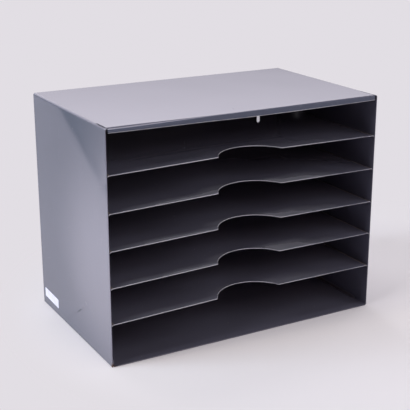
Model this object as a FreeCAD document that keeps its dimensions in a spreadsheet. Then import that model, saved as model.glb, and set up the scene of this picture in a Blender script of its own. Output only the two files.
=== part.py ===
import FreeCAD, Part
import math
import os
import Sketcher

# A metal desktop filing tray: a bent steel shell, a flanged back panel and five notched shelves, spot-welded
# into one box with six compartments, and a blank label stuck on the left wall.
# Millimetres. +X is to the right, the open front faces -Y, +Z is up, and the origin is the middle of the base.

SHELF_COUNT = 5

# Each driving dimension: its name, its value and what it measures
DRIVING_SIZES = (
    ("tray_width", 368.0, "outside of the left wall to outside of the right wall"),
    ("tray_depth", 222.0, "front edges to the outside of the back"),
    ("tray_height", 283.0, "underside of the base to the top"),
    ("shell_gauge", 1.0, "sheet thickness of the shell"),
    ("bend_inside", 1.5, "inside radius of the shell's long bends"),
    ("seam_gap", 0.15, "paint film between lapped sheets"),
    ("lap_height", 9.0, "upturned lap that closes the base inside the left wall"),
    ("lip_height", 6.5, "front lip, from the top down to its hem"),
    ("lip_inside", 0.4, "inside radius of the bend between the top and the lip"),
    ("hem_inside", 0.2, "inside radius of the two bends of the lip's hem"),
    ("hem_flat", 0.4, "flat run between the two bends of the hem"),
    ("hem_headroom", 1.0, "room between the end of the hem and the top above it"),
    ("slit_length", 30.0, "relief slit at each end of the lip, from the front edge back"),
    ("slit_width", 1.0, "width of a relief slit"),
    ("back_gauge", 1.0, "sheet thickness of the back panel"),
    ("back_bend_inside", 1.0, "inside radius of the back panel's bends"),
    ("back_flange", 10.0, "flanges of the back panel, from its rear face forwards"),
    ("corner_gap", 1.0, "room between the back panel's flanges and the shell's bends"),
    ("keyhole_spacing", 300.0, "between the middles of the two hanging keyholes"),
    ("keyhole_drop", 40.0, "top of the tray down to the middle of a keyhole's entry"),
    ("keyhole_rise", 11.5, "middle of a keyhole's entry up to the middle of its rounded end"),
    ("entry_radius", 5.0, "round entry of a keyhole, for a screw's head"),
    ("slot_radius", 2.5, "half the width of a keyhole's slot, for a screw's shank"),
    ("shelf_gauge", 1.0, "sheet thickness of a shelf"),
    ("shelf_bend_inside", 1.0, "inside radius of a shelf's bends"),
    ("shelf_flange", 8.5, "side and rear flanges of a shelf, from its top face down"),
    ("flange_taper", 40.0, "front stretch over which a shelf's side flanges grow to their full height"),
    ("flange_gap", 1.5, "room between a shelf's edges and the back panel's side flanges"),
    ("lowest_shelf", 56.4, "underside of the base to the top face of the lowest shelf"),
    ("shelf_pitch", 44.1, "one shelf to the next"),
    ("notch_width", 87.0, "thumb notch along a shelf's front edge"),
    ("notch_depth", 29.0, "thumb notch from the front edge back"),
    ("notch_corner", 1.5, "rounding where the notch meets the front edge"),
    ("label_length", 47.0, "stuck-on label, along the wall"),
    ("label_height", 12.0, "stuck-on label, up the wall"),
    ("label_thickness", 0.2, "stuck-on label, off the wall"),
    ("label_corner", 1.5, "rounding of the label's corners"),
    ("label_from_back", 31.0, "outside of the back to the middle of the label"),
    ("label_rise", 16.6, "underside of the base to the middle of the label"),
    ("label_tilt", 1.8, "degrees that the label leans down towards the front"),
)

# Shared expressions, so that pieces that meet take their places from the same sizes
SHELL_BEND = "(sizes.shell_gauge + sizes.bend_inside)"
LIP_BEND = "(sizes.shell_gauge + sizes.lip_inside)"
HEM_BEND = "(sizes.shell_gauge + sizes.hem_inside)"
BACK_BEND = "(sizes.back_gauge + sizes.back_bend_inside)"
SHELF_BEND = "(sizes.shelf_gauge + sizes.shelf_bend_inside)"
HALF_WIDTH = "(sizes.tray_width / 2)"
HALF_DEPTH = "(sizes.tray_depth / 2)"
LAP_INSET = "(sizes.shell_gauge + sizes.seam_gap)"
HALF_INSIDE = f"({HALF_WIDTH} - {LAP_INSET})"
BACK_RELIEF = "(sizes.bend_inside + sizes.corner_gap)"
FLANGE_END = f"({HALF_DEPTH} - sizes.back_flange - sizes.flange_gap)"

AXIS_LINE = {"x": -2, "y": -1}
AXIS_DISTANCE = {"x": "DistanceX", "y": "DistanceY"}
OTHER_AXIS = {"x": "y", "y": "x"}
START, END, CENTRE = 1, 2, 3
NEAR = 0.001

doc = FreeCAD.newDocument("filing_tray")
sizes = doc.addObject("Spreadsheet::Sheet", "sizes")
for row, (alias, value, meaning) in enumerate(DRIVING_SIZES, 1):
    sizes.set(f"A{row}", alias)
    sizes.set(f"B{row}", str(value))
    sizes.set(f"C{row}", meaning)
    sizes.setAlias(f"B{row}", alias)
doc.recompute()


def number(expression):
    """Present value of an expression on the sheet."""
    return float(sizes.evalExpression(expression))


def new_body(label):
    """Empty body of one sheet-metal piece."""
    body = doc.addObject("PartDesign::Body", label)
    body.Label = label
    return body


def origin_plane(body, role):
    """One of a body's own three origin planes."""
    return next(feature for feature in body.Origin.OriginFeatures if feature.Role == role)


def new_sketch(body, role, name, offset="0"):
    """Sketch on an origin plane of its body, moved along the plane's normal by an expression."""
    sketch = body.newObject("Sketcher::SketchObject", f"{body.Label}_{name}")
    sketch.AttachmentSupport = [(origin_plane(body, role), "")]
    sketch.MapMode = "FlatFace"
    sketch.setExpression("AttachmentOffset.Base.z", offset)
    return sketch


def bind(sketch, name, expression, kind, *places):
    """Dimension of a sketch, tied to an expression."""
    index = sketch.addConstraint(Sketcher.Constraint(kind, *places, number(expression)))
    sketch.renameConstraint(index, name)
    sketch.setExpression(f"Constraints.{name}", expression)


def hold(sketch, name, axis, expression, edge, end):
    """Holds one end of an edge at a distance from the sketch's origin, along one axis."""
    if expression == "0":
        sketch.addConstraint(Sketcher.Constraint("PointOnObject", edge, end, AXIS_LINE[axis]))
    else:
        bind(sketch, name, expression, AXIS_DISTANCE[axis], -1, 1, edge, end)


def straight(sketch, start, finish):
    """Level or upright edge between two points."""
    edge = sketch.addGeometry(Part.LineSegment(start, finish))
    level = abs(start.y - finish.y) < NEAR
    sketch.addConstraint(Sketcher.Constraint("Horizontal" if level else "Vertical", edge))
    return edge


def join(sketch, first, first_end, second, second_end, kind="Coincident"):
    """Joins the ends of two edges."""
    sketch.addConstraint(Sketcher.Constraint(kind, first, first_end, second, second_end))


def round_bend(sketch, centre, radius, first, last):
    """Quarter-circle edge that turns from one direction off its centre to another, anticlockwise."""
    begin = math.atan2(first.y, first.x)
    finish = math.atan2(last.y, last.x)
    if finish < begin:
        finish += 2 * math.pi
    circle = Part.Circle(centre, FreeCAD.Vector(0, 0, 1), radius)
    return sketch.addGeometry(Part.ArcOfCircle(circle, begin, finish))


def corner_point(first, second):
    """Point where an upright and a level line cross."""
    place = dict((first, second))
    return FreeCAD.Vector(place["x"], place["y"], 0)


def bent_strip(sketch, legs, ends, radii, gauge):
    """Closed outline of a bent sheet, seen along its bends.

    legs gives the outer face of each flat run in order, as an axis and the expression where it crosses that axis.
    ends says where the first and the last run stop, and radii is the outer radius of each bend between them.
    """
    path = [(OTHER_AXIS[legs[0][0]], ends[0]), *legs, (OTHER_AXIS[legs[-1][0]], ends[1])]
    lines = [(axis, number(expression)) for axis, expression in path]
    points = [corner_point(*pair) for pair in zip(lines, lines[1:])]
    heads = [(after - before).normalize() for before, after in zip(points, points[1:])]
    turn = 1 if heads[0].cross(heads[1]).z > 0 else -1
    inward = [FreeCAD.Vector(-turn * head.y, turn * head.x, 0) for head in heads]
    bends = [number(radius) for radius in radii]
    centres = [point + (after - before) * bend
               for point, before, after, bend in zip(points[1:], heads, heads[1:], bends)]

    runs, arcs = [], []
    for inset in (0, number(gauge)):
        starts = [points[0] + inward[0] * inset]
        stops = []
        for index, centre in enumerate(centres):
            stops.append(centre - inward[index] * (bends[index] - inset))
            starts.append(centre - inward[index + 1] * (bends[index] - inset))
        stops.append(points[-1] + inward[-1] * inset)
        runs.append([straight(sketch, *pair) for pair in zip(starts, stops)])
        arcs.append([])
        for index, centre in enumerate(centres):
            facing = [-inward[index], -inward[index + 1]][::turn]
            arc = round_bend(sketch, centre, bends[index] - inset, *facing)
            from_end, to_end = (START, END)[::turn]
            join(sketch, runs[-1][index], END, arc, from_end, "Tangent")
            join(sketch, runs[-1][index + 1], START, arc, to_end, "Tangent")
            arcs[-1].append(arc)

    outer, inner = runs
    caps = []
    for tip, end in ((0, START), (-1, END)):
        caps.append(straight(sketch, points[tip], points[tip] + inward[tip] * number(gauge)))
        join(sketch, outer[tip], end, caps[-1], START)
        join(sketch, inner[tip], end, caps[-1], END)
    bind(sketch, "gauge", gauge, "Distance", caps[0])
    for index, (arc, inner_arc) in enumerate(zip(*arcs)):
        join(sketch, arc, CENTRE, inner_arc, CENTRE)
        bind(sketch, f"bend_{index + 1}", radii[index], "Radius", arc)
    for index, (axis, expression) in enumerate(legs):
        hold(sketch, f"leg_{index + 1}", axis, expression, outer[index], START)
    hold(sketch, "first_end", *path[0], outer[0], START)
    hold(sketch, "last_end", *path[-1], outer[-1], END)


def rectangle(sketch, left, right, low, high):
    """Rectangle between four expressions."""
    corners = [FreeCAD.Vector(number(x), number(y), 0)
               for x, y in ((left, low), (right, low), (right, high), (left, high))]
    edges = [straight(sketch, *pair) for pair in zip(corners, corners[1:] + corners[:1])]
    for edge, following in zip(edges, edges[1:] + edges[:1]):
        join(sketch, edge, END, following, START)
    hold(sketch, "left", "x", left, edges[0], START)
    hold(sketch, "low", "y", low, edges[0], START)
    hold(sketch, "right", "x", right, edges[2], START)
    hold(sketch, "high", "y", high, edges[2], START)


def pad(body, sketch, name, length, both_ways=False, backwards=False):
    """Sheet made from a sketch, to a length given by an expression."""
    feature = body.newObject("PartDesign::Pad", f"{body.Label}_{name}")
    feature.Profile = sketch
    feature.setExpression("Length", length)
    feature.SideType = "Symmetric" if both_ways else "One side"
    feature.Reversed = backwards
    doc.recompute()
    return feature


def pocket(body, sketch, name, depth, both_ways=False):
    """Cut made from a sketch, against its normal or both ways, which has to take something away."""
    before = body.Shape.Volume
    feature = body.newObject("PartDesign::Pocket", f"{body.Label}_{name}")
    feature.Profile = sketch
    feature.setExpression("Length", depth)
    feature.SideType = "Symmetric" if both_ways else "One side"
    doc.recompute()
    if not feature.Shape.Volume < before:
        raise RuntimeError(f"{feature.Name} cuts nothing")
    return feature


def mirror(body, feature, name):
    """Twin of a feature on the other side of the tray's middle plane."""
    before = body.Shape.Volume
    twin = body.newObject("PartDesign::Mirrored", f"{body.Label}_{name}")
    twin.Originals = [feature]
    twin.MirrorPlane = (origin_plane(body, "YZ_Plane"), [""])
    body.Tip = twin
    doc.recompute()
    if not twin.Shape.Volume < before:
        raise RuntimeError(f"{twin.Name} cuts nothing")
    return twin


def runs_along(edge, axis):
    """Whether an edge is straight and runs along an axis."""
    return isinstance(edge.Curve, Part.Line) and abs(edge.Curve.Direction.dot(axis)) > 1 - NEAR


def round_edges(body, base, name, radius, chosen):
    """Rounds the edges of a feature for which chosen(edge) is true."""
    feature = body.newObject("PartDesign::Fillet", f"{body.Label}_{name}")
    edges = [f"Edge{index}" for index, edge in enumerate(base.Shape.Edges, 1) if chosen(edge)]
    feature.Base = (base, edges)
    feature.setExpression("Radius", radius)
    doc.recompute()
    return feature


def make_shell():
    """Shell: left wall, top, right wall and base bent from one strip, closed by a lap inside the left wall."""
    body = new_body("shell")
    base_end = f"-({HALF_INSIDE} - {SHELL_BEND})"
    wrap = new_sketch(body, "XZ_Plane", "wrap_outline")
    bent_strip(wrap,
               [("x", f"-{HALF_WIDTH}"), ("y", "sizes.tray_height"), ("x", HALF_WIDTH), ("y", "0")],
               ("0", base_end), [SHELL_BEND] * 3, "sizes.shell_gauge")
    pad(body, wrap, "wrap", "sizes.tray_depth", both_ways=True)

    lap = new_sketch(body, "XZ_Plane", "lap_outline", HALF_DEPTH)
    bent_strip(lap, [("y", "0"), ("x", f"-{HALF_INSIDE}")], (f"{base_end} + {SHELL_BEND}", "sizes.lap_height"),
               [SHELL_BEND], "sizes.shell_gauge")
    pad(body, lap, "lap", f"{HALF_DEPTH} + {FLANGE_END}", backwards=True)

    lip_room = new_sketch(body, "XY_Plane", "lip_room_outline", "sizes.tray_height")
    lip_reach = f"({HALF_WIDTH} - {SHELL_BEND})"
    rectangle(lip_room, f"-{lip_reach}", lip_reach, f"-{HALF_DEPTH}", f"-{HALF_DEPTH} + {LIP_BEND}")
    pocket(body, lip_room, "lip_room", SHELL_BEND)

    slit = new_sketch(body, "XY_Plane", "slit_outline", "sizes.tray_height")
    rectangle(slit, f"{lip_reach} - sizes.slit_width", lip_reach,
              f"-{HALF_DEPTH}", f"-{HALF_DEPTH} + sizes.slit_length")
    mirror(body, pocket(body, slit, "slit", SHELL_BEND), "slits")

    lip = new_sketch(body, "YZ_Plane", "lip_outline")
    lip_foot = "sizes.tray_height - sizes.lip_height"
    hem_face = f"-{HALF_DEPTH} + 2 * {HEM_BEND} + sizes.hem_flat"
    bent_strip(lip,
               [("y", "sizes.tray_height"), ("x", f"-{HALF_DEPTH}"), ("y", lip_foot), ("x", hem_face)],
               (f"-{HALF_DEPTH} + 2 * {LIP_BEND}", "sizes.tray_height - sizes.shell_gauge - sizes.hem_headroom"),
               [LIP_BEND, HEM_BEND, HEM_BEND], "sizes.shell_gauge")
    pad(body, lip, "lip", f"2 * ({lip_reach} - sizes.slit_width)", both_ways=True)
    return body


def keyhole(sketch):
    """Outline of the right-hand keyhole: a round entry with a round-ended slot above it."""
    middle = number("sizes.keyhole_spacing / 2")
    entry = FreeCAD.Vector(middle, number("sizes.tray_height - sizes.keyhole_drop"), 0)
    slot_end = entry + FreeCAD.Vector(0, number("sizes.keyhole_rise"), 0)
    half_slot = number("sizes.slot_radius")
    radius = number("sizes.entry_radius")
    mouth = math.asin(half_slot / radius)
    upright = FreeCAD.Vector(0, 0, 1)
    shoulder = FreeCAD.Vector(half_slot, radius * math.cos(mouth), 0)
    across = FreeCAD.Vector(half_slot, 0, 0)

    turn_round = Part.ArcOfCircle(Part.Circle(entry, upright, radius),
                                  math.pi / 2 + mouth, 5 * math.pi / 2 - mouth)
    round_end = Part.ArcOfCircle(Part.Circle(slot_end, upright, half_slot), 0, math.pi)
    entry_arc = sketch.addGeometry(turn_round)
    end_arc = sketch.addGeometry(round_end)
    right = straight(sketch, entry + shoulder, slot_end + across)
    left = straight(sketch, slot_end - across, entry + shoulder - 2 * across)
    join(sketch, entry_arc, END, right, START)
    join(sketch, right, END, end_arc, START, "Tangent")
    join(sketch, left, START, end_arc, END, "Tangent")
    join(sketch, left, END, entry_arc, START)
    bind(sketch, "entry_radius", "sizes.entry_radius", "Radius", entry_arc)
    bind(sketch, "slot_radius", "sizes.slot_radius", "Radius", end_arc)
    hold(sketch, "entry_x", "x", "sizes.keyhole_spacing / 2", entry_arc, CENTRE)
    hold(sketch, "entry_z", "y", "sizes.tray_height - sizes.keyhole_drop", entry_arc, CENTRE)
    hold(sketch, "end_x", "x", "sizes.keyhole_spacing / 2", end_arc, CENTRE)
    bind(sketch, "rise", "sizes.keyhole_rise", "DistanceY", entry_arc, CENTRE, end_arc, CENTRE)


def make_back_panel():
    """Back panel: a pan with four flanges turned forwards inside the shell, and two hanging keyholes."""
    body = new_body("back_panel")
    flange_front = f"{HALF_DEPTH} - sizes.back_flange"
    low = LAP_INSET
    high = f"sizes.tray_height - {LAP_INSET}"

    sides = new_sketch(body, "XY_Plane", "sides_outline", f"{low} + {BACK_RELIEF}")
    bent_strip(sides, [("x", f"-{HALF_INSIDE}"), ("y", HALF_DEPTH), ("x", HALF_INSIDE)],
               (flange_front, flange_front), [BACK_BEND] * 2, "sizes.back_gauge")
    pad(body, sides, "sides", f"{high} - {low} - 2 * {BACK_RELIEF}")

    ends = new_sketch(body, "YZ_Plane", "ends_outline")
    bent_strip(ends, [("y", low), ("x", HALF_DEPTH), ("y", high)],
               (flange_front, flange_front), [BACK_BEND] * 2, "sizes.back_gauge")
    pad(body, ends, "ends", f"2 * ({HALF_INSIDE} - {BACK_RELIEF})", both_ways=True)

    hanger = new_sketch(body, "XZ_Plane", "keyhole_outline", f"sizes.back_gauge - {HALF_DEPTH}")
    keyhole(hanger)
    mirror(body, pocket(body, hanger, "keyhole", "sizes.back_gauge"), "keyholes")
    return body


def notch(sketch):
    """Outline of a thumb notch: an arc whose ends lie on the shelf's front edge."""
    radius_text = "(sizes.notch_width ^ 2 / 4 + sizes.notch_depth ^ 2) / (2 * sizes.notch_depth)"
    half_notch = number("sizes.notch_width / 2")
    front = -number(HALF_DEPTH)
    radius = number(radius_text)
    centre = FreeCAD.Vector(0, front + number("sizes.notch_depth") - radius, 0)
    left = FreeCAD.Vector(-half_notch, front, 0)
    right = FreeCAD.Vector(half_notch, front, 0)
    begin = math.atan2(front - centre.y, half_notch)
    circle = Part.Circle(centre, FreeCAD.Vector(0, 0, 1), radius)
    arc = sketch.addGeometry(Part.ArcOfCircle(circle, begin, math.pi - begin))
    edge = straight(sketch, left, right)
    join(sketch, edge, END, arc, START)
    join(sketch, edge, START, arc, END)
    hold(sketch, "front", "y", f"-{HALF_DEPTH}", edge, START)
    hold(sketch, "left", "x", "-sizes.notch_width / 2", edge, START)
    hold(sketch, "right", "x", "sizes.notch_width / 2", edge, END)
    bind(sketch, "notch_radius", radius_text, "Radius", arc)


def taper(sketch):
    """Outline of the corner cut off the front of a shelf's side flanges, seen from the right."""
    top, foot = f"-{SHELF_BEND}", "-sizes.shelf_flange"
    full_height = f"-{HALF_DEPTH} + sizes.flange_taper"
    front = -number(HALF_DEPTH)
    upper = FreeCAD.Vector(front, number(top), 0)
    lower = FreeCAD.Vector(front, number(foot), 0)
    rear = FreeCAD.Vector(number(full_height), number(foot), 0)
    upright = straight(sketch, upper, lower)
    level = straight(sketch, lower, rear)
    slant = sketch.addGeometry(Part.LineSegment(rear, upper))
    for edge, following in ((upright, level), (level, slant), (slant, upright)):
        join(sketch, edge, END, following, START)
    hold(sketch, "front", "x", f"-{HALF_DEPTH}", upright, START)
    hold(sketch, "top", "y", top, upright, START)
    hold(sketch, "foot", "y", foot, level, START)
    hold(sketch, "full_height", "x", full_height, level, END)


def make_shelf(position):
    """Shelf: a sheet with side and rear flanges turned down and a thumb notch. Position 1 is the uppermost."""
    body = new_body(f"shelf_{position}")
    sides = new_sketch(body, "XZ_Plane", "sides_outline", HALF_DEPTH)
    bent_strip(sides, [("x", f"-{HALF_INSIDE}"), ("y", "0"), ("x", HALF_INSIDE)],
               ("-sizes.shelf_flange", "-sizes.shelf_flange"), [SHELF_BEND] * 2, "sizes.shelf_gauge")
    pad(body, sides, "sides", f"{HALF_DEPTH} + {FLANGE_END}", backwards=True)

    rear = new_sketch(body, "YZ_Plane", "rear_outline")
    rear_face = f"{HALF_DEPTH} - sizes.back_gauge - sizes.seam_gap"
    bent_strip(rear, [("y", "0"), ("x", rear_face)], (f"{FLANGE_END} - {SHELF_BEND}", "-sizes.shelf_flange"),
               [SHELF_BEND], "sizes.shelf_gauge")
    pad(body, rear, "rear", f"2 * ({HALF_INSIDE} - {BACK_BEND} - sizes.flange_gap)", both_ways=True)

    corner = new_sketch(body, "YZ_Plane", "taper_outline")
    taper(corner)
    pocket(body, corner, "taper", "sizes.tray_width", both_ways=True)

    thumb = new_sketch(body, "XY_Plane", "notch_outline")
    notch(thumb)
    cut = pocket(body, thumb, "notch", "sizes.shelf_gauge")
    half_notch = number("sizes.notch_width / 2")
    front = -number(HALF_DEPTH)

    def notch_end(edge):
        place = edge.CenterOfMass
        on_front = abs(place.y - front) < NEAR and abs(abs(place.x) - half_notch) < NEAR
        return on_front and runs_along(edge, FreeCAD.Vector(0, 0, 1))

    round_edges(body, cut, "notch_corners", "sizes.notch_corner", notch_end)
    body.setExpression("Placement.Base.z",
                       f"sizes.lowest_shelf + {SHELF_COUNT - position} * sizes.shelf_pitch")
    return body


def make_label():
    """Label: a thin round-cornered slip on the outside of the left wall, stuck on a little crooked."""
    body = new_body("label")
    outline = new_sketch(body, "YZ_Plane", "outline")
    rectangle(outline, "-sizes.label_length / 2", "sizes.label_length / 2",
              "-sizes.label_height / 2", "sizes.label_height / 2")
    slip = pad(body, outline, "slip", "sizes.label_thickness")
    through = FreeCAD.Vector(1, 0, 0)
    round_edges(body, slip, "corners", "sizes.label_corner", lambda edge: runs_along(edge, through))
    body.Placement = FreeCAD.Placement(FreeCAD.Vector(), FreeCAD.Rotation(FreeCAD.Vector(1, 0, 0), 1))
    body.setExpression("Placement.Rotation.Angle", "sizes.label_tilt")
    body.setExpression("Placement.Base.x", f"-{HALF_WIDTH} - sizes.label_thickness")
    body.setExpression("Placement.Base.y", f"{HALF_DEPTH} - sizes.label_from_back")
    body.setExpression("Placement.Base.z", "sizes.label_rise")
    return body


nodes = [make_shell(), make_back_panel()]
nodes += [make_shelf(position) for position in range(1, SHELF_COUNT + 1)]
nodes.append(make_label())
doc.recompute()

for item in doc.Objects:
    if {"Invalid", "Error"} & set(item.State):
        raise RuntimeError(f"{item.Label} failed: {item.State}")
for node in nodes:
    if node.Shape.isNull() or not node.Shape.isValid() or len(node.Shape.Solids) != 1:
        raise RuntimeError(f"{node.Label} is not one valid solid")

os.makedirs("parts", exist_ok=True)
for node in nodes:
    node.Shape.exportStep(f"parts/{node.Label}.step")
    print(f"{node.Label}: {node.Shape.Volume:.1f} mm3")
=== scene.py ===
import math

import bpy
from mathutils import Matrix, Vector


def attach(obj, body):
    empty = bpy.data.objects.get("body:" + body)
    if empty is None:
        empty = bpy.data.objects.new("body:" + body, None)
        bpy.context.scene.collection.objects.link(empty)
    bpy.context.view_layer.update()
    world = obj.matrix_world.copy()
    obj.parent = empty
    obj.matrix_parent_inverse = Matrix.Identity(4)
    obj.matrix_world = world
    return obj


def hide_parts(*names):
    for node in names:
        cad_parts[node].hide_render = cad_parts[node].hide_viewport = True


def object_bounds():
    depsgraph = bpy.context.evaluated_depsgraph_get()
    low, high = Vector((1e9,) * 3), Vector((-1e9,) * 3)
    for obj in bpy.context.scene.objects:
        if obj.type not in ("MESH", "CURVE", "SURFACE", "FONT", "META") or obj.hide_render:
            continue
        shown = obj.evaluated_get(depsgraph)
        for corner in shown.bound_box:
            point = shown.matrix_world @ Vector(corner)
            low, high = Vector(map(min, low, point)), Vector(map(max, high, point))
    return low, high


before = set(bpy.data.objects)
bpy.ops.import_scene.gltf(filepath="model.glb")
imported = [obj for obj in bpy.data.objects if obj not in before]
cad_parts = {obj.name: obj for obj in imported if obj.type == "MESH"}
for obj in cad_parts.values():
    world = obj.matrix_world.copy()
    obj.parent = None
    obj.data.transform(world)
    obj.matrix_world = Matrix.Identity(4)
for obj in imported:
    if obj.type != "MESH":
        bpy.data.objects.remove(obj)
cad_low, cad_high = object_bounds()
scene = bpy.context.scene
scene.view_settings.view_transform = "Standard"

# View: a long lens held above the tray and well to its left, looking down at the open front.
# The picture is square, and its middle lies on the lens's axis.
PICTURE_WIDTH = 410
FOCAL_PIXELS = 989.5
FILM_WIDTH = 36
EYE = (-0.5949, -1.0616, 0.5305)
EYE_TURN = -29.3
EYE_DIP = 17.9
SIGHT_END = 50

bpy.ops.object.select_all(action="DESELECT")
bpy.ops.object.camera_add(location=EYE)
view = bpy.context.object
view.name = "view"
view.rotation_euler = (math.radians(90 - EYE_DIP), 0, math.radians(EYE_TURN))
view.data.sensor_width = FILM_WIDTH
view.data.lens = FILM_WIDTH * FOCAL_PIXELS / PICTURE_WIDTH
view.data.clip_end = SIGHT_END
scene.camera = view

# Shell: one strip of 1 mm sheet steel bent round into both walls, the top and the base, and spot-welded at
# its joint. It was sprayed with slate-blue enamel and baked. The coat is hard and glossy, round on every cut
# edge and worn through under the front lip, where hands lift the tray.
COAT_ROUNDING = 0.00045
ROUNDING_STEPS = 3
CUT_EDGE = math.radians(35)
FLAT_TURN = math.radians(0.5)
FLAT_WEIGHT = 100
SAME_POINT = 0.000001
ENAMEL = "#5b5a69"
ENAMEL_THICK = "#575665"
ENAMEL_IOR = 1.5
RUBBED_STEEL = "#b9bac0"
# Pale grey of dust, hairlines and specks, and of the painted sheen on the shelves' front strips.
DUST_AND_SHEEN = "#9a9ba3"
# Pale brown strip beside the walls: settled dust and a painted highlight on the shelves' side bends.
SEAM_DUST_AND_HIGHLIGHT = "#857a74"
SEAM_BLUR = 0.001
SEAM_STRENGTH = 0.7
# Dark grey of the scuffs, and of the painted shade in the lip's left slit.
SCUFF_AND_SHADE = "#262932"
# Dark brown of the rusty corner, and of the painted shade in the base's inside right bend.
RUST_AND_SHADE = "#3d2c25"
FLOWED_ROUGHNESS = (0.03, 0.06)
RUBBED_ROUGHNESS = (0.28, 0.40)
UNDERSIDE_ROUGHNESS = 0.35
INSIDE_ROUGHNESS = 0.2
MARK_ROUGHNESS = 0.7
RUST_ROUGHNESS = 0.8

# Sizes of the coat's patterns are in millimetres, and heights of its relief in metres. Hairlines and specks
# are drawn a little coarser than real ones, so that they show.
CLOUD_SIZE = 60
SMEAR_SIZE = 18
GRIT_SIZE = 2
HAIRLINE_SPACING = 70
HAIRLINE_CORE = 0.07
HAIRLINE_RIM = 0.28
HAIRLINE_STRENGTH = 0.12
SPECK_SPACING = 14
SPECK_CORE = 0.42
SPECK_RIM = 0.70
SPECK_RARITY = 0.55
PEEL_SIZE = 3
PEEL_HEIGHT = 0.000003
WAVE_SIZE = 160
WAVE_HEIGHT = 0.0003
BROAD_MARK = 12
SPOT_FRAYING = 1.1
SPOT_SOLID = 1.0
SPOT_GONE = 1.7

# Each fade is a pair of values, of a texture or of where a face looks, between which a mask or the coat's
# roughness runs from one end to the other.
HAIRLINE_FADE = (0.52, 0.62)
SPECK_FADE = (0.2, 0.9)
SPECK_STRENGTHS = (0.12, 0.5)
SEAM_FADE = (0.1, 0.4)
FLOWED_FADE = (0.3, 0.7)
UNDERSIDE_FADE = (-0.7, -0.4)
INSIDE_FADE = (-0.15, -0.05)
RUBBED_FADE = (0.36, 0.56)
RUBBED_PATCHINESS = 0.5


def linear(colour):
    """Linear colour of an sRGB hex value."""
    parts = [int(colour[place:place + 2], 16) / 255 for place in (1, 3, 5)]
    return (*(part / 12.92 if part <= 0.04045 else ((part + 0.055) / 1.055) ** 2.4 for part in parts), 1)


def put(tree, kind, inputs=None, **settings):
    """Adds a node with its settings; each input is a value or the socket that feeds it."""
    node = tree.nodes.new(kind)
    for name, value in settings.items():
        setattr(node, name, value)
    for name, value in (inputs or {}).items():
        if isinstance(value, bpy.types.NodeSocket):
            tree.links.new(value, node.inputs[name])
        else:
            node.inputs[name].default_value = value
    return node


def new_material(name):
    """New material and its empty node tree."""
    material = bpy.data.materials.new(name)
    material.use_nodes = True
    material.node_tree.nodes.clear()
    return material, material.node_tree


def per_metre(millimetres):
    """Texture scale that repeats once in a length."""
    return 1000 / millimetres


def stain(tree, colour, mask, under):
    """Lays a colour over another where a mask is 1.

    Sockets 0, 6 and 7 of the mix are the mask and the two colours. For plain numbers they are 0, 2 and 3.
    """
    top = colour if isinstance(colour, bpy.types.NodeSocket) else linear(colour)
    bottom = under if isinstance(under, bpy.types.NodeSocket) else linear(under)
    return put(tree, "ShaderNodeMix", {0: mask, 6: bottom, 7: top}, data_type="RGBA").outputs[2]


def spot(tree, place, centre, turn, radii, ragged):
    """Mask of one ragged oval spot; centre and radii in millimetres, turn in degrees about X, Y and Z."""
    oval = put(tree, "ShaderNodeMapping", {"Vector": place, "Location": [value / 1000 for value in centre],
                                           "Rotation": [math.radians(value) for value in turn],
                                           "Scale": [value / 1000 for value in radii]},
               vector_type="TEXTURE")
    reach = put(tree, "ShaderNodeVectorMath", {0: oval.outputs[0]}, operation="LENGTH")
    edge = put(tree, "ShaderNodeMath", {0: ragged, 1: SPOT_FRAYING, 2: reach.outputs["Value"]},
               operation="MULTIPLY_ADD")
    mask = put(tree, "ShaderNodeMapRange", {"Value": edge.outputs[0], "From Min": SPOT_SOLID,
                                            "From Max": SPOT_GONE, "To Min": 1.0, "To Max": 0.0})
    return mask.outputs["Result"]


def hairlines(tree, place, smear):
    """Mask of the broken hairline scratches that wiping leaves in a gloss."""
    crack = put(tree, "ShaderNodeTexVoronoi", {"Vector": place, "Scale": per_metre(HAIRLINE_SPACING)},
                feature="DISTANCE_TO_EDGE")
    line = put(tree, "ShaderNodeMapRange", {"Value": crack.outputs["Distance"],
                                            "From Min": HAIRLINE_CORE / HAIRLINE_SPACING,
                                            "From Max": HAIRLINE_RIM / HAIRLINE_SPACING,
                                            "To Min": HAIRLINE_STRENGTH, "To Max": 0.0})
    broken = put(tree, "ShaderNodeMapRange", {"Value": smear, "From Min": HAIRLINE_FADE[0],
                                              "From Max": HAIRLINE_FADE[1]})
    return put(tree, "ShaderNodeMath", {0: line.outputs["Result"], 1: broken.outputs["Result"]},
               operation="MULTIPLY").outputs[0]


def dust_specks(tree, place, facing_up):
    """Mask of single specks of dust, which lie thickest on level faces."""
    cell = put(tree, "ShaderNodeTexVoronoi", {"Vector": place, "Scale": per_metre(SPECK_SPACING)},
               feature="F1")
    grain = put(tree, "ShaderNodeMapRange", {"Value": cell.outputs["Distance"],
                                             "From Min": SPECK_CORE / SPECK_SPACING,
                                             "From Max": SPECK_RIM / SPECK_SPACING,
                                             "To Min": 1.0, "To Max": 0.0})
    draw = put(tree, "ShaderNodeSeparateXYZ", {0: cell.outputs["Color"]})
    chosen = put(tree, "ShaderNodeMath", {0: draw.outputs["X"], 1: SPECK_RARITY}, operation="GREATER_THAN")
    speck = put(tree, "ShaderNodeMath", {0: grain.outputs["Result"], 1: chosen.outputs[0]},
                operation="MULTIPLY")
    level = put(tree, "ShaderNodeMapRange", {"Value": facing_up, "From Min": SPECK_FADE[0],
                                             "From Max": SPECK_FADE[1], "To Min": SPECK_STRENGTHS[0],
                                             "To Max": SPECK_STRENGTHS[1]})
    return put(tree, "ShaderNodeMath", {0: speck.outputs[0], 1: level.outputs["Result"]},
               operation="MULTIPLY").outputs[0]


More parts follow.
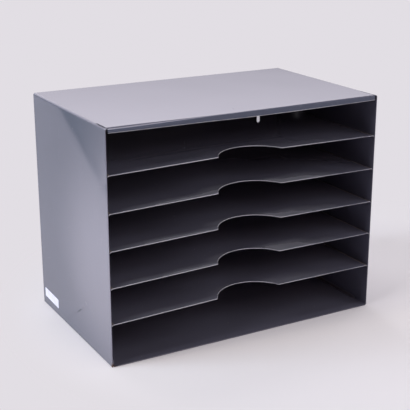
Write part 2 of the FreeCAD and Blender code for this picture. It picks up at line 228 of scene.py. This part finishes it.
def seam_dust_and_highlight(tree, sideways, facing_up, seam):
    """Mask of dust and painted highlight on level faces by the walls, past a distance from the middle."""
    outward = put(tree, "ShaderNodeMath", {0: sideways}, operation="ABSOLUTE")
    seam_strip = put(tree, "ShaderNodeMapRange", {"Value": outward.outputs[0], "From Min": seam,
                                               "From Max": seam + SEAM_BLUR, "To Max": SEAM_STRENGTH})
    upward = put(tree, "ShaderNodeMapRange", {"Value": facing_up, "From Min": SEAM_FADE[0],
                                              "From Max": SEAM_FADE[1]})
    return put(tree, "ShaderNodeMath", {0: seam_strip.outputs["Result"], 1: upward.outputs["Result"]},
               operation="MULTIPLY").outputs[0]


def coat_roughness(tree, smear, spread, facing, rubbed):
    """Roughness of the coat: low where the spray flowed out, higher below, inside and on rubbed edges."""
    least, most = RUBBED_ROUGHNESS if rubbed else FLOWED_ROUGHNESS
    shine = put(tree, "ShaderNodeMapRange", {"Value": smear, "From Min": FLOWED_FADE[0],
                                             "From Max": FLOWED_FADE[1], "To Min": least, "To Max": most})
    below = put(tree, "ShaderNodeMapRange", {"Value": facing.outputs["Z"], "From Min": UNDERSIDE_FADE[0],
                                             "From Max": UNDERSIDE_FADE[1],
                                             "To Min": UNDERSIDE_ROUGHNESS, "To Max": 0.0})
    inward = put(tree, "ShaderNodeMath", {0: spread.outputs["X"], 1: facing.outputs["X"]},
                 operation="MULTIPLY")
    within = put(tree, "ShaderNodeMapRange", {"Value": inward.outputs[0], "From Min": INSIDE_FADE[0],
                                              "From Max": INSIDE_FADE[1],
                                              "To Min": INSIDE_ROUGHNESS, "To Max": 0.0})
    unflowed = put(tree, "ShaderNodeMath", {0: below.outputs["Result"], 1: within.outputs["Result"]},
                   operation="MAXIMUM")
    return put(tree, "ShaderNodeMath", {0: shine.outputs["Result"], 1: unflowed.outputs[0]},
               operation="MAXIMUM").outputs[0]


def orange_peel(tree, place):
    """Normal of the coat: the fine orange peel of the spray over the slow waves of a thin sheet."""
    peel = put(tree, "ShaderNodeTexNoise", {"Vector": place, "Scale": per_metre(PEEL_SIZE), "Detail": 1})
    wave = put(tree, "ShaderNodeTexNoise", {"Vector": place, "Scale": per_metre(WAVE_SIZE), "Detail": 1})
    fine = put(tree, "ShaderNodeMath", {0: peel.outputs["Fac"], 1: PEEL_HEIGHT}, operation="MULTIPLY")
    height = put(tree, "ShaderNodeMath", {0: wave.outputs["Fac"], 1: WAVE_HEIGHT, 2: fine.outputs[0]},
                 operation="MULTIPLY_ADD")
    relief = put(tree, "ShaderNodeBump", {"Height": height.outputs[0], "Strength": 1.0, "Distance": 1.0})
    return relief.outputs["Normal"]


def enamel_coat(tree, paint=ENAMEL, pooled=ENAMEL_THICK, rubbed=0.0, marks=(), rust=None, seam=None):
    """Stoving enamel: an even slate blue under a hard gloss, with orange peel, hairlines, dust and wear.

    rubbed is the share of the coat that is worn through to bright steel. A mark is a colour, its spot's
    centre, turn and radii, and its strength. rust is the spot of a rusty patch, and seam is how far from the
    middle a pale strip lies beside the walls: settled dust and a painted highlight.
    """
    place = put(tree, "ShaderNodeTexCoord").outputs["Object"]
    spread = put(tree, "ShaderNodeSeparateXYZ", {0: place})
    facing = put(tree, "ShaderNodeSeparateXYZ", {0: put(tree, "ShaderNodeNewGeometry").outputs["Normal"]})
    cloud = put(tree, "ShaderNodeTexNoise", {"Vector": place, "Scale": per_metre(CLOUD_SIZE), "Detail": 4})
    smear = put(tree, "ShaderNodeTexNoise", {"Vector": place, "Scale": per_metre(SMEAR_SIZE), "Detail": 5,
                                             "Roughness": 0.65})
    grit = put(tree, "ShaderNodeTexNoise", {"Vector": place, "Scale": per_metre(GRIT_SIZE), "Detail": 3})
    colour = stain(tree, pooled, cloud.outputs["Fac"], paint)
    colour = stain(tree, DUST_AND_SHEEN, hairlines(tree, place, smear.outputs["Fac"]), colour)
    colour = stain(tree, DUST_AND_SHEEN, dust_specks(tree, place, facing.outputs["Z"]), colour)
    # Dust and painted highlight: a pale brown strip on level faces beside the walls.
    if seam:
        seam_strip = seam_dust_and_highlight(tree, spread.outputs["X"], facing.outputs["Z"], seam)
        colour = stain(tree, SEAM_DUST_AND_HIGHLIGHT, seam_strip, colour)
    bare = 0.0
    if rubbed:
        wear_and_sheen = put(tree, "ShaderNodeMapRange", {"Value": smear.outputs["Fac"], "From Min": RUBBED_FADE[0],
                                                "From Max": RUBBED_FADE[1],
                                                "To Min": rubbed * (1 - RUBBED_PATCHINESS),
                                                "To Max": rubbed * (1 + RUBBED_PATCHINESS)})
        bare = wear_and_sheen.outputs["Result"]
        colour = stain(tree, RUBBED_STEEL, bare, colour)
    roughness = coat_roughness(tree, smear.outputs["Fac"], spread, facing, rubbed)
    for mark_colour, centre, turn, radii, strength in marks:
        fraying = cloud if max(radii[:2]) > BROAD_MARK else grit
        mark = spot(tree, place, centre, turn, radii, fraying.outputs["Fac"])
        mark = put(tree, "ShaderNodeMath", {0: mark, 1: strength}, operation="MULTIPLY").outputs[0]
        colour = stain(tree, mark_colour, mark, colour)
        roughness = put(tree, "ShaderNodeMix", {0: mark, 2: roughness, 3: MARK_ROUGHNESS}).outputs[0]
    if rust:
        eaten = spot(tree, place, *rust, smear.outputs["Fac"])
        colour = stain(tree, RUST_AND_SHADE, eaten, colour)
        roughness = put(tree, "ShaderNodeMix", {0: eaten, 2: roughness, 3: RUST_ROUGHNESS}).outputs[0]
    coat = put(tree, "ShaderNodeBsdfPrincipled", {"Base Color": colour, "Metallic": bare,
                                                  "Roughness": roughness, "IOR": ENAMEL_IOR,
                                                  "Normal": orange_peel(tree, place)})
    put(tree, "ShaderNodeOutputMaterial", {"Surface": coat.outputs["BSDF"]})


def plain_sheet(node):
    """Copy of a sheet as it came from the press, its flat stretches each one face."""
    sheet = bpy.data.objects.new(f"{node}_sheet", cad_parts[node].data.copy())
    scene.collection.objects.link(sheet)
    bpy.ops.object.select_all(action="DESELECT")
    bpy.context.view_layer.objects.active = sheet
    sheet.select_set(True)
    bpy.ops.object.mode_set(mode="EDIT")
    bpy.ops.mesh.select_all(action="SELECT")
    bpy.ops.mesh.remove_doubles(threshold=SAME_POINT)
    bpy.ops.mesh.dissolve_limited(angle_limit=FLAT_TURN)
    bpy.ops.object.mode_set(mode="OBJECT")
    return sheet


def coated(sheet, node, coat, edge_coat=None, shape=None):
    """Coats a sheet, rounds its cut edges and lets it stand for its node.

    The edges may have a coat of their own, and shape may then move the points of the rounded sheet.
    """
    sheet.data.materials.clear()
    sheet.data.materials.append(coat)
    if edge_coat:
        sheet.data.materials.append(edge_coat)
    bpy.ops.object.shade_smooth()
    rounding = sheet.modifiers.new("rounding", "BEVEL")
    rounding.width = COAT_ROUNDING
    rounding.segments = ROUNDING_STEPS
    rounding.limit_method = "ANGLE"
    rounding.angle_limit = CUT_EDGE
    rounding.use_clamp_overlap = False
    rounding.material = 1 if edge_coat else 0
    bpy.ops.object.modifier_apply(modifier=rounding.name)
    if shape:
        for point in sheet.data.vertices:
            point.co = shape(point.co)
    flats = sheet.modifiers.new("flats", "WEIGHTED_NORMAL")
    flats.weight = FLAT_WEIGHT
    flats.keep_sharp = True
    bpy.ops.object.modifier_apply(modifier=flats.name)
    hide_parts(node)
    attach(sheet, "root")


# Stoving enamel of the shell: slate blue that mirrors the room, with two knocks and a nick on the left wall,
# a mark on the top, painted shade in the lip's left slit and in the base's inside right bend, and one rusty
# front corner. The places and sizes of marks are in millimetres.
RIGHT = 1000 * cad_high[0]
LEFT = -RIGHT
FRONT = 1000 * cad_low[1]
TOP = 1000 * cad_high[2]
SHELL_MARKS = ((SCUFF_AND_SHADE, (LEFT, -17, 36), (-35, 0, 0), (6, 10, 1.0), 0.8),
               (SCUFF_AND_SHADE, (LEFT, -38, 53), (48, 0, 0), (6, 5, 0.5), 0.5),
               (SCUFF_AND_SHADE, (LEFT, -17.5, TOP - 19), (0, 0, 0), (6, 1.0, 0.8), 0.8),
               (SCUFF_AND_SHADE, (-12.8, FRONT + 19.2, TOP), (0, 0, 0), (1.0, 1.4, 6), 0.8),
               # Painted shade: a dark stroke along the lip's left slit.
               (SCUFF_AND_SHADE, (LEFT + 2.4, FRONT + 16, TOP - 0.5), (0, 0, 0), (1.7, 18, 2.0), 1.0),
               # Painted shade: a dark brown strip along the inside bend of the base and the right wall.
               (RUST_AND_SHADE, (RIGHT - 2.5, 5, 3.0), (0, 0, 0), (2.8, 105, 3.2), 0.9))
CORNER_RUST = ((LEFT, FRONT, 1), (0, 0, 0), (6, 4, 6))
shell_coat, shell_tree = new_material("stoving_enamel_shell")
enamel_coat(shell_tree, marks=SHELL_MARKS, rust=CORNER_RUST)
shell = plain_sheet("shell")

# Lip: the front edge of the top, turned down and hanging free between two slits. It rolls over earlier at
# the ends of its bend, slack on the left, and its edge sags in the middle and lifts on the left. Its face
# is painted a darker, bluer enamel as painted shade, and fingers have rubbed its underside to a satin
# gleam of steel.
# Painted shade: the lip's face is given a darker, bluer enamel than the shell's.
ENAMEL_LIP_SHADE = "#42485b"
LIP_RUBBED = 0.6
HALF_WIDTH = cad_high[0]
LIP_BACK = cad_low[1] + 0.006
LIP_LOW = cad_high[2] - 0.0085
LIP_HIGH = cad_high[2] - 0.003
LIP_END = HALF_WIDTH - 0.0022
LIP_SAG = 0.0013
LIP_LIFT = 0.0007
LIP_LIFT_REACH = 0.06
LIP_CUTS = 23
FACES_FRONT = -0.7
FACES_DOWN = -0.08
FACES_BACK = 0.3
BEND = 0.0014
BEND_ROLL = 0.005
BEND_ROLL_TURN = math.radians(25)
BEND_SLACK = 0.0026
BEND_TIGHT = 0.05
BEND_CENTRE = (cad_low[1] + BEND, cad_high[2] - BEND)


def on_lip(point):
    """True for a point of the lip below its bend."""
    return point.y < LIP_BACK and LIP_LOW < point.z < LIP_HIGH


def on_bend(point):
    """True for a point of the bend between top and lip."""
    inside = point.y < BEND_CENTRE[0] + SAME_POINT and point.z > BEND_CENTRE[1] - SAME_POINT
    return inside and abs(point.x) < LIP_END


points = shell.data.vertices
bpy.ops.object.mode_set(mode="EDIT")
bpy.ops.mesh.select_mode(type="EDGE")
bpy.ops.mesh.select_all(action="DESELECT")
bpy.ops.object.mode_set(mode="OBJECT")
for edge in shell.data.edges:
    ends = [points[index].co for index in edge.vertices]
    along_lip = all(on_lip(end) or on_bend(end) for end in ends)
    edge.select = along_lip and abs(ends[0].x - ends[1].x) > HALF_WIDTH
bpy.ops.object.mode_set(mode="EDIT")
bpy.ops.mesh.subdivide(number_cuts=LIP_CUTS)
bpy.ops.object.mode_set(mode="OBJECT")


def bent_lip(point):
    """Place of a point of the shell after the lip is bent."""
    across, back, up = point
    if on_lip(point):
        up -= LIP_SAG * max(0.0, 1 - (across / HALF_WIDTH) ** 2)
        up += LIP_LIFT * min(1.0, max(0.0, -across / LIP_LIFT_REACH))
    elif on_bend(point):
        turn = math.atan2(BEND_CENTRE[0] - back, up - BEND_CENTRE[1])
        first_turn = min(turn, BEND_ROLL_TURN)
        outward = min(1.0, max(0.0, (abs(across) - BEND_TIGHT) / (2 * BEND_TIGHT)))
        roll = BEND_ROLL * outward
        slack = BEND_SLACK * outward if across < 0 else 0.0
        back += slack * (1 - math.sin(turn)) + roll * (math.sin(BEND_ROLL_TURN) - math.sin(first_turn))
        up -= slack * (1 - math.cos(turn)) + roll * (1 - math.cos(first_turn))
    return across, back, up


coated(shell, "shell", shell_coat, shape=bent_lip)
# Painted shade: the darker, bluer enamel of the lip's face.
lip_shaded, lip_tree = new_material("shaded_enamel_lip")
enamel_coat(lip_tree, paint=ENAMEL_LIP_SHADE, pooled=ENAMEL_LIP_SHADE)
lip_rubbed, lip_tree = new_material("rubbed_enamel_lip")
enamel_coat(lip_tree, rubbed=LIP_RUBBED)
shell.data.materials.append(lip_shaded)
shell.data.materials.append(lip_rubbed)
for face in shell.data.polygons:
    if on_lip(face.center) and face.normal.y < FACES_BACK and face.normal.z < FACES_DOWN:
        face.material_index = 2
    # Painted shade: the front faces of the lip and its bend take the darker lip enamel.
    elif face.center.z > LIP_LOW and abs(face.center.x) < LIP_END and face.normal.y < FACES_FRONT:
        face.material_index = 1

# Back panel: a shallow pan of the same sheet, its flanges spot-welded inside the shell and its two keyholes
# punched. A row of weld beads closes each corner of the pan. Its enamel is the shell's, glossy and unmarked.
BEAD = 0.0020
BEAD_INSET = 0.0024
BEAD_DEPTHS = (0.0021, 0.0041, 0.0061, 0.0081, 0.0101, 0.0118)
BEAD_DETAIL = 3
back_coat, back_tree = new_material("stoving_enamel_back")
enamel_coat(back_tree)
back_panel = plain_sheet("back_panel")
for across in (BEAD_INSET - HALF_WIDTH, HALF_WIDTH - BEAD_INSET):
    for height in (cad_low[2] + BEAD_INSET, cad_high[2] - BEAD_INSET):
        for depth in BEAD_DEPTHS:
            bpy.ops.object.select_all(action="DESELECT")
            bpy.ops.mesh.primitive_ico_sphere_add(subdivisions=BEAD_DETAIL, radius=BEAD,
                                                  location=(across, cad_high[1] - depth, height))
            back_panel.select_set(True)
            bpy.context.view_layer.objects.active = back_panel
            bpy.ops.object.join()
coated(back_panel, "back_panel", back_coat)

# Shelves: five sheets with a punched thumb notch and three flanges turned down. Their spot welds pull each
# into a slight crown with its left end a little low. Paler patches beside the notch and along the front,
# strongest on the middle shelves, are a painted sheen of light on their front strips. Papers and hands have
# rubbed the front edges pale with bare steel, and a pale brown strip along the walls is settled dust and a
# painted highlight on the side bends.
SEAM = HALF_WIDTH - 0.005
SHELF_CROWN = 0.0025
SHELF_RUBBED = 0.3
ALL_HEIGHTS = 1000
# Painted sheen: paler patches beside the notch and along the front strip of each shelf.
SHEEN_PLACES = (((68, FRONT, 150), (0, 0, 0), (62, 26, ALL_HEIGHTS)),
               ((-85, FRONT, 150), (0, 0, 0), (85, 14, ALL_HEIGHTS)),
               ((0, FRONT + 15, 150), (0, 0, 0), (50, 16, ALL_HEIGHTS)))
WORN_EDGE = (RUBBED_STEEL, (-60, FRONT + 6, 150), (0, 0, 0), (170, 40, ALL_HEIGHTS), 0.65)

# For each shelf from the top: the rise of its middle, half that of its right end over its left, both in
# metres, and the strength of its painted sheen.
SHELF_SETS = ((0.0008, 0.0006, 0.10), (0.0014, 0.0011, 0.42), (0.0015, 0.0013, 0.38), (0.0019, 0.0020, 0.40),
              (0.0015, 0.0020, 0.20))
shelf_rubbed, shelf_tree = new_material("rubbed_enamel_shelf")
enamel_coat(shelf_tree, rubbed=SHELF_RUBBED, marks=(WORN_EDGE,))
shelf_nodes = sorted(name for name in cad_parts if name.startswith("shelf_"))
for node, (rise, tilt, sheen_strength) in zip(shelf_nodes, SHELF_SETS):
    shelf_coat, shelf_tree = new_material(f"stoving_enamel_{node}")
    # Painted sheen on the front strip, and a pale brown strip beside the walls: dust and painted highlight.
    enamel_coat(shelf_tree, seam=SEAM, marks=[(DUST_AND_SHEEN, *wear_and_sheen, sheen_strength) for wear_and_sheen in SHEEN_PLACES])
    shelf = plain_sheet(node)
    for point in shelf.data.vertices:
        along = point.co.x / HALF_WIDTH
        point.co.z += rise + tilt * along - SHELF_CROWN * along ** 2
    coated(shelf, node, shelf_coat, shelf_rubbed)

# Label: a slip of blank white film, stuck a little crooked at the rear foot of the left wall. Its face is
# matt with a fine grain, and years of dust have greyed it in soft patches.
LABEL_WHITE = "#dad4e3"
LABEL_GREYED = "#c8c1cd"
LABEL_GREYING = 0.8
GREYING_FADE = (0.45, 0.75)
LABEL_ROUGHNESS = 0.45
PATCH_SIZE = 9
GRAIN_SIZE = 0.4
GRAIN_HEIGHT = 0.00004
GRAIN_STRENGTH = 0.3
label_film, label_tree = new_material("label_film")
place = put(label_tree, "ShaderNodeTexCoord").outputs["Object"]
patch = put(label_tree, "ShaderNodeTexNoise", {"Vector": place, "Scale": per_metre(PATCH_SIZE), "Detail": 4})
greyed = put(label_tree, "ShaderNodeMapRange", {"Value": patch.outputs["Fac"], "From Min": GREYING_FADE[0],
                                                "From Max": GREYING_FADE[1], "To Max": LABEL_GREYING})
tone = stain(label_tree, LABEL_GREYED, greyed.outputs["Result"], LABEL_WHITE)
grain = put(label_tree, "ShaderNodeTexNoise", {"Vector": place, "Scale": per_metre(GRAIN_SIZE), "Detail": 2})
weave = put(label_tree, "ShaderNodeBump", {"Height": grain.outputs["Fac"], "Strength": GRAIN_STRENGTH,
                                           "Distance": GRAIN_HEIGHT})
film = put(label_tree, "ShaderNodeBsdfPrincipled", {"Base Color": tone, "Roughness": LABEL_ROUGHNESS,
                                                    "Normal": weave.outputs["Normal"]})
put(label_tree, "ShaderNodeOutputMaterial", {"Surface": film.outputs["BSDF"]})
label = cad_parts["label"]
label.data.materials.clear()
label.data.materials.append(label_film)

# Table: a wide sheet of pale, matt paper, which takes the tray's soft shadow. Far from the tray the eye and
# the gloss see it fade to an even pale ground. Past its slanting edge a darker floor shows in the gloss
# alone. The paper isn't drawn from below, or where the tray's underside touches it.
PAPER = "#e5e1e7"
PAPER_GLOW = 0.97
PAPER_WIDTH = 30
PAPER_DROP = 0.0002
PAPER_TOUCH = 0.0006
FADE_CENTRE = (0.15, -0.02, 0)
FADE_FROM = 0.28
FADE_TO = 0.42
FLOOR_EDGE = (-0.474, 0.581)
FLOOR_EDGE_BLUR = 0.004
FLOOR_SLANT = -0.261
FLOOR_FROM = 0.30
FLOOR_FROM_BLUR = 0.02
FLOOR_DARK = "#6f7c75"
FLOOR_TIP = 0.57
FLOOR_SPREAD = 0.22
bpy.ops.object.select_all(action="DESELECT")
bpy.ops.mesh.primitive_plane_add(size=PAPER_WIDTH, location=(0, 0, -PAPER_DROP))
table = bpy.context.object
table.name = "table"
paper, tree = new_material("pale_paper")
place = put(tree, "ShaderNodeTexCoord").outputs["Object"]
spread = put(tree, "ShaderNodeSeparateXYZ", {0: place})
ray = put(tree, "ShaderNodeLightPath")
seen = put(tree, "ShaderNodeMath", {0: ray.outputs["Is Camera Ray"], 1: ray.outputs["Is Glossy Ray"]},
           operation="MAXIMUM")
seen = put(tree, "ShaderNodeMath", {0: seen.outputs[0], 1: ray.outputs["Is Transmission Ray"]},
           operation="MAXIMUM")
distance = put(tree, "ShaderNodeVectorMath", {0: place, 1: FADE_CENTRE}, operation="DISTANCE")
far = put(tree, "ShaderNodeMapRange", {"Value": distance.outputs["Value"], "From Min": FADE_FROM,
                                       "From Max": FADE_TO}, interpolation_type="SMOOTHSTEP")
even = put(tree, "ShaderNodeMath", {0: seen.outputs[0], 1: far.outputs["Result"]}, operation="MULTIPLY")
edge = put(tree, "ShaderNodeMath", {0: spread.outputs["Y"], 1: FLOOR_SLANT,
                                    2: FLOOR_EDGE[0] - FLOOR_SLANT * FLOOR_EDGE[1]},
           operation="MULTIPLY_ADD")
past = put(tree, "ShaderNodeMath", {0: edge.outputs[0], 1: spread.outputs["X"]}, operation="SUBTRACT")
beyond = put(tree, "ShaderNodeMapRange", {"Value": past.outputs[0], "From Min": -FLOOR_EDGE_BLUR,
                                          "From Max": FLOOR_EDGE_BLUR})
behind = put(tree, "ShaderNodeMapRange", {"Value": spread.outputs["Y"], "From Min": FLOOR_FROM,
                                          "From Max": FLOOR_FROM + FLOOR_FROM_BLUR})
bare_floor = put(tree, "ShaderNodeMath", {0: beyond.outputs["Result"], 1: behind.outputs["Result"]},
                 operation="MULTIPLY")
mirrored = put(tree, "ShaderNodeMath", {0: bare_floor.outputs[0], 1: ray.outputs["Is Glossy Ray"]},
               operation="MULTIPLY")
width = put(tree, "ShaderNodeMath", {0: spread.outputs["Y"], 1: FLOOR_SPREAD, 2: -FLOOR_TIP * FLOOR_SPREAD},
            operation="MULTIPLY_ADD")
paling = put(tree, "ShaderNodeMath", {0: past.outputs[0], 1: width.outputs[0]}, operation="DIVIDE",
             use_clamp=True)
floor_tone = stain(tree, PAPER, paling.outputs[0], FLOOR_DARK)
ground = stain(tree, floor_tone, mirrored.outputs[0], PAPER)
sheet_face = put(tree, "ShaderNodeBsdfDiffuse", {"Color": ground})
glow = put(tree, "ShaderNodeEmission", {"Color": ground, "Strength": PAPER_GLOW})
blend = put(tree, "ShaderNodeMixShader", {0: even.outputs[0], 1: sheet_face.outputs["BSDF"],
                                          2: glow.outputs["Emission"]})
below = put(tree, "ShaderNodeNewGeometry").outputs["Backfacing"]
touching = put(tree, "ShaderNodeMath", {0: ray.outputs["Ray Length"], 1: PAPER_TOUCH}, operation="LESS_THAN")
undrawn = put(tree, "ShaderNodeMath", {0: below, 1: touching.outputs[0]}, operation="MAXIMUM")
nothing = put(tree, "ShaderNodeBsdfTransparent")
one_sided = put(tree, "ShaderNodeMixShader", {0: undrawn.outputs[0], 1: blend.outputs["Shader"],
                                              2: nothing.outputs["BSDF"]})
put(tree, "ShaderNodeOutputMaterial", {"Surface": one_sided.outputs["Shader"]})
table.data.materials.append(paper)

# Light: soft panels behind, in front and on both sides of the tray, and three narrow warm lamps on its left
# wall. All round is a pale studio, which the gloss shows brighter the higher it looks, with a dark gap in
# the ceiling on the right and a bright panel overhead.
STUDIO = "#f6f1fd"
STUDIO_LIGHT = 0.02
STUDIO_LOW = 0.72
STUDIO_HIGH = 2.12
LOW_ELEVATION = 9
LOW_FADE = 6
CEILING = 0.1
CEILING_FROM = 22
CEILING_FADE = 3
CEILING_RIGHT = 0.31
CEILING_RIGHT_FADE = 0.04
OVERHEAD = 4.5
OVERHEAD_FROM = 53
OVERHEAD_FADE = 4
studio = bpy.data.worlds.new("studio")
scene.world = studio
studio.use_nodes = True
tree = studio.node_tree
tree.nodes.clear()
ray = put(tree, "ShaderNodeLightPath")
aim = put(tree, "ShaderNodeSeparateXYZ", {0: put(tree, "ShaderNodeTexCoord").outputs["Generated"]})


def above(elevation, fade):
    """Mask that rises from 0 to 1 over a few degrees of height in the studio."""
    start, end = (math.sin(math.radians(angle)) for angle in (elevation, elevation + fade))
    return put(tree, "ShaderNodeMapRange", {"Value": aim.outputs["Z"], "From Min": start,
                                            "From Max": end}).outputs["Result"]


walls = put(tree, "ShaderNodeMix", {0: above(LOW_ELEVATION, LOW_FADE), 2: STUDIO_LOW, 3: STUDIO_HIGH})
on_right = put(tree, "ShaderNodeMapRange", {"Value": aim.outputs["X"], "From Min": CEILING_RIGHT,
                                            "From Max": CEILING_RIGHT + CEILING_RIGHT_FADE})
gap = put(tree, "ShaderNodeMath", {0: above(CEILING_FROM, CEILING_FADE), 1: on_right.outputs["Result"]},
          operation="MULTIPLY")
ceiling = put(tree, "ShaderNodeMix", {0: gap.outputs[0], 2: walls.outputs[0], 3: CEILING})
room = put(tree, "ShaderNodeMix", {0: above(OVERHEAD_FROM, OVERHEAD_FADE), 2: ceiling.outputs[0],
                                   3: OVERHEAD})
gloss = put(tree, "ShaderNodeMix", {0: ray.outputs["Is Glossy Ray"], 2: STUDIO_LIGHT, 3: room.outputs[0]})
clear = put(tree, "ShaderNodeMath", {0: ray.outputs["Is Camera Ray"], 1: ray.outputs["Is Transmission Ray"]},
            operation="MAXIMUM")
strength = put(tree, "ShaderNodeMix", {0: clear.outputs[0], 2: gloss.outputs[0], 3: PAPER_GLOW})
tone = stain(tree, PAPER, clear.outputs[0], STUDIO)
sky = put(tree, "ShaderNodeBackground", {"Color": tone, "Strength": strength.outputs[0]})
put(tree, "ShaderNodeOutputWorld", {"Surface": sky.outputs["Background"]})

WHITE = (1.0, 1.0, 1.0)
ROSE = (1.0, 0.75, 0.70)
COOL = (0.60, 0.85, 1.0)
WARM = (1.0, 0.95, 0.80)
TRAY = (0, 0, 0.1)
LAMP_WIDTH = 0.05


def lamp(name, kind, power, place, target, width, tint=WHITE):
    """Lamp hidden from the eye and the gloss, turned from its place towards a target, both in metres."""
    bpy.ops.object.light_add(type=kind, location=place)
    light = bpy.context.object
    light.name = name
    light.data.energy = power
    light.data.color = tint
    light.visible_camera = False
    light.visible_glossy = False
    way = [there - here for here, there in zip(place, target)]
    level = math.hypot(way[0], way[1])
    light.rotation_euler = (math.atan2(level, -way[2]), 0, math.atan2(way[1], way[0]) - math.pi / 2)
    if kind == "AREA":
        light.data.size = width
    else:
        light.data.shadow_soft_size = width
    return light


lamp("panel_behind", "AREA", 11.7, (0, 0.9, 1.5), TRAY, 1.0)
lamp("panel_left", "AREA", 9.9, (-0.9, -0.06, 1.2), TRAY, 0.8)
lamp("panel_right", "AREA", 6.5, (0.8, 0, 1.4), TRAY, 1.0)
lamp("panel_front", "AREA", 4.8, (0, -1.4, 1.3), TRAY, 1.0)
lamp("panel_front_right", "AREA", 8.8, (1.1, -1.2, 1.1), TRAY, 1.0)
lamp("panel_front_low", "AREA", 6.8, (0.2, -1.8, 0.7), (0, -0.1, 0.1), 1.0, ROSE)
lamp("panel_left_low", "AREA", 6.9, (-1.2, 0.25, 0.3), (-0.1, 0, 0.1), 0.4, COOL)
for name, power, place, target, cone in (
        ("lamp_left_wall", 36, (-0.9, -0.05, 0.14), (-0.184, -0.108, 0.13), 24),
        ("lamp_left_wall_low", 7.5, (-0.9, -0.04, 0.10), (-0.184, -0.10, 0.09), 26),
        ("lamp_left_foot", 7.2, (-0.9, 0.1, 0.06), (-0.184, 0.07, 0.06), 26)):
    light = lamp(name, "SPOT", power, place, target, LAMP_WIDTH, WARM)
    light.data.spot_size = math.radians(cone)
    light.data.spot_blend = 1.0
